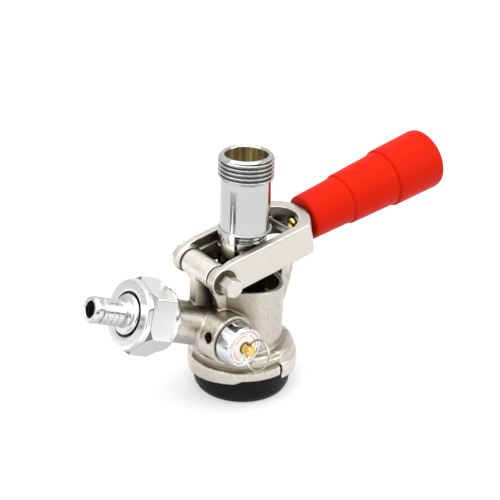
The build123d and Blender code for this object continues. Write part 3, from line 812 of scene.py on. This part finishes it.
# ---------------------------------------------------------- relief valve
rcap = lathe("relief_cap", [
    (4.8, 12.4), (6.2, 12.4, 0.1), (6.2, 16.98), (9.2, 16.98, 0.25), (9.32, 17.5, 0.15), (9.1, 20.0), (8.80, 23.3, 0.5), (8.15, 24.6, 0.45), (7.2, 24.6, 0.2),
    (6.9, 24.3, 0.1), (6.9, 23.7), (2.3, 23.7), (2.3, 20.0), (4.8, 20.0)], PRV, 120, 24)
dress(rcap, M_RCAP)
place(rcap, "coupler_body", "chrome_relief_cap", "prv_cap")

HD = Vector((0.407, 0, 0.913)).normalized()
RN = PRV_DIR.cross(HD).normalized()
RV = RN.cross(PRV_DIR).normalized()
RC = Vector((-18.5, 0, 32.3)) + PRV_DIR * (26.0 + 6.1 - 0.15)
pts = []
TURNS, STEPS = 1.96, 150
for i in range(STEPS + 1):
    u = i / STEPS
    a = rad(200) + 2 * math.pi * TURNS * u
    s = min(max((u * TURNS - 0.80) / 0.34, 0), 1)
    s = s * s * (3 - 2 * s)
    off = -0.27 + 0.54 * s
    pts.append(RC + (PRV_DIR * math.cos(a) + RV * math.sin(a)) * (6.0 + 0.18 * s) + RN * off)
ring = tube_along("pull_ring", pts, 0.33, 12)
ring.data.shade_smooth()
dress(ring, M_WIRE)
place(ring, "relief_ring", "nickel_wire", "prv_pull_ring")

# ----------------------------------------------------------------- grip
grip = lathe("grip", [
    (5.6, 51.2), (9.2, 51.2, 0.3), (9.9, 51.9, 0.3), (10.62, 71.3, 0.12), (10.56, 71.55, 0.1), (11.05, 71.72, 0.25), (11.38, 72.3, 0.2), (12.24, 95.4, 0.12), (12.16, 95.68, 0.1),
    (12.75, 95.82, 0.3), (13.18, 96.5, 0.25), (13.70, 118.4, 0.3), (13.48, 119.7, 0.5), (12.55, 120.5, 0.6), (0.0, 120.55), (0.0, 117.0), (4.9, 117.0), (4.9, 112.0), (5.6, 110.5)], ROD, 144, 20)
dress(grip, M_RED)
place(grip, "pull_handle", "red_grip", "handle_grip")

# ------------------------------------------------------------- dust cap
dust = lathe("base_cap", [
    (0, 0.0), (17.6, 0.0, 0.8), (19.4, 0.6, 1.2), (20.45, 2.6, 1.2), (20.8, 5.0, 0.8), (20.8, 11.7, 0.3), (20.4, 12.3, 0.25), (18.0, 12.3, 0.2), (17.75, 12.0), (17.75, 2.6, 0.3), (17.2, 2.2), (0, 2.2)], UP, 160, 25)
dress(dust, M_BLACK)
place(dust, "cap", "black_cap", "dust_cap")

# ---------------------------------------------------------------- camera
CAM = dict(az=-36.13797, el=25.17859, roll=1.517996, f=1206.757, dist=498.514, tx=2.38326, tz=62.27763)
a, e, r = rad(CAM["az"]), rad(CAM["el"]), rad(CAM["roll"])
back = Vector((math.sin(a) * math.cos(e), -math.cos(a) * math.cos(e), math.sin(e)))
right = Vector((math.cos(a), math.sin(a), 0))
up = back.cross(right)
R = right * math.cos(r) + up * math.sin(r)
U = -right * math.sin(r) + up * math.cos(r)
eye = right * CAM["tx"] + Vector((0, 0, CAM["tz"])) + back * CAM["dist"]
cam_data = bpy.data.cameras.new("camera")
cam_data.sensor_width = 36.0
cam_data.lens = CAM["f"] / 500 * 36.0
cam_data.clip_start, cam_data.clip_end = 0.01, 20
cam = bpy.data.objects.new("camera", cam_data)
scene.collection.objects.link(cam)
mat = Matrix((R, U, back)).transposed().to_4x4()
mat.translation = eye * MM
cam.matrix_world = mat
scene.camera = cam

# ------------------------------------------------------ floor and lights
fl = bpy.data.meshes.new("floor")
N, S = 40, 3.0
fl.from_pydata([(-S, -S, 0), (S, -S, 0), (S, S, 0), (-S, S, 0)], [], [(0, 1, 2, 3)])
floor = bpy.data.objects.new("floor", fl)
scene.collection.objects.link(floor)
fm = Nodes("floor_paper")
fm.set(color=fm.mix(fm.math("MULTIPLY", fm.noise(30, 2), 0.1), (0.47, 0.47, 0.47), (0.45, 0.45, 0.45)), rough=0.7, spec=0.0)
fm.b.inputs["Emission Color"].default_value = (1, 1, 1, 1)
fm.b.inputs["Emission Strength"].default_value = 0.43
floor.data.materials.append(fm.mat)

w = bpy.data.worlds.new("studio")
scene.world = w
w.use_nodes = True
wt = w.node_tree
wt.nodes.clear()
wo = wt.nodes.new("ShaderNodeOutputWorld")
bg = wt.nodes.new("ShaderNodeBackground")
bgc = wt.nodes.new("ShaderNodeBackground")
mx = wt.nodes.new("ShaderNodeMixShader")
lp = wt.nodes.new("ShaderNodeLightPath")
tc = wt.nodes.new("ShaderNodeTexCoord")
sx = wt.nodes.new("ShaderNodeSeparateXYZ")
cr = wt.nodes.new("ShaderNodeValToRGB")
mr = wt.nodes.new("ShaderNodeMapRange")
mr.inputs[1].default_value, mr.inputs[2].default_value = -1, 1
wt.links.new(tc.outputs["Generated"], sx.inputs[0])
wt.links.new(sx.outputs["Z"], mr.inputs[0])
wt.links.new(mr.outputs[0], cr.inputs[0])
el = cr.color_ramp.elements
el[0].position, el[0].color = 0.0, (0.9, 0.9, 0.9, 1)
el[1].position, el[1].color = 1.0, (1.0, 1.0, 1.0, 1)
for p, c in ((0.47, (0.75, 0.75, 0.75)), (0.50, (0.10, 0.095, 0.09)), (0.57, (0.14, 0.13, 0.12)), (0.63, (0.62, 0.62, 0.61)), (0.69, (1.0, 1.0, 0.99)), (0.8, (1.0, 1.0, 1.0))):
    k = cr.color_ramp.elements.new(p)
    k.color = (*c, 1)
cb = wt.nodes.new("ShaderNodeValToRGB")
eb = cb.color_ramp.elements
eb[0].position, eb[0].color = 0.0, (0.9, 0.9, 0.9, 1)
eb[1].position, eb[1].color = 1.0, (1.0, 1.0, 1.0, 1)
for p, c in ((0.48, (0.85, 0.85, 0.85)), (0.52, (0.62, 0.62, 0.61)), (0.60, (0.85, 0.85, 0.84)), (0.68, (1.0, 1.0, 1.0))):
    k = cb.color_ramp.elements.new(p)
    k.color = (*c, 1)
wt.links.new(mr.outputs[0], cb.inputs[0])
side = wt.nodes.new("ShaderNodeMapRange")
side.inputs[1].default_value, side.inputs[2].default_value = -0.35, 0.15
wt.links.new(sx.outputs["Y"], side.inputs[0])
both = wt.nodes.new("ShaderNodeMix")
both.data_type = "RGBA"
wt.links.new(side.outputs[0], both.inputs[0])
wt.links.new(cr.outputs[0], both.inputs[6])
wt.links.new(cb.outputs[0], both.inputs[7])
bg.inputs[1].default_value = 1.0
wt.links.new(both.outputs[2], bg.inputs[0])
bgc.inputs[0].default_value = (1, 1, 1, 1)
bgc.inputs[1].default_value = 1.0
wt.links.new(lp.outputs["Is Camera Ray"], mx.inputs[0])
wt.links.new(bg.outputs[0], mx.inputs[1])
wt.links.new(bgc.outputs[0], mx.inputs[2])
wt.links.new(mx.outputs[0], wo.inputs[0])


def area(name, at, look, size, power, size_y=None, color=(1, 1, 1)):
    ld = bpy.data.lights.new(name, "AREA")
    ld.energy = power
    ld.color = color
    ld.shape = "RECTANGLE"
    ld.size = size
    ld.size_y = size_y or size
    lo = bpy.data.objects.new(name, ld)
    scene.collection.objects.link(lo)
    lo.location = at
    d = Vector(look) - Vector(at)
    lo.rotation_euler = d.to_track_quat("-Z", "Y").to_euler()
    lo.visible_camera = False
    return lo


area("key_top", (-0.15, -0.1, 0.9), (0, 0, 0.05), 1.15, 8.0, 1.15)
area("fill_left", (-0.75, -0.05, 0.45), (0, 0, 0.05), 1.0, 3.0, 1.0)
area("fill_right", (0.55, -0.6, 0.5), (0, 0, 0.05), 0.5, 2.2, 0.5)

card = bpy.data.meshes.new("dark_card")
card.from_pydata([(-0.15, -0.036, 0.003), (-0.15, 0.040, 0.003), (-0.15, 0.040, 0.036), (-0.15, -0.036, 0.036)], [], [(0, 1, 2, 3)])
cardo = bpy.data.objects.new("dark_card", card)
scene.collection.objects.link(cardo)
cm = Nodes("card_black")
cm.set(color=cm.height([(0.10, (0.10, 0.10, 0.10)), (0.20, (0.22, 0.22, 0.22)), (0.33, (0.80, 0.80, 0.80))]), rough=0.8, spec=0.1)
card.materials.append(cm.mat)
cardo.visible_camera = False
cardo.visible_diffuse = False
cardo.visible_shadow = False

scene.view_settings.view_transform = "Standard"
scene.view_settings.look = "None"
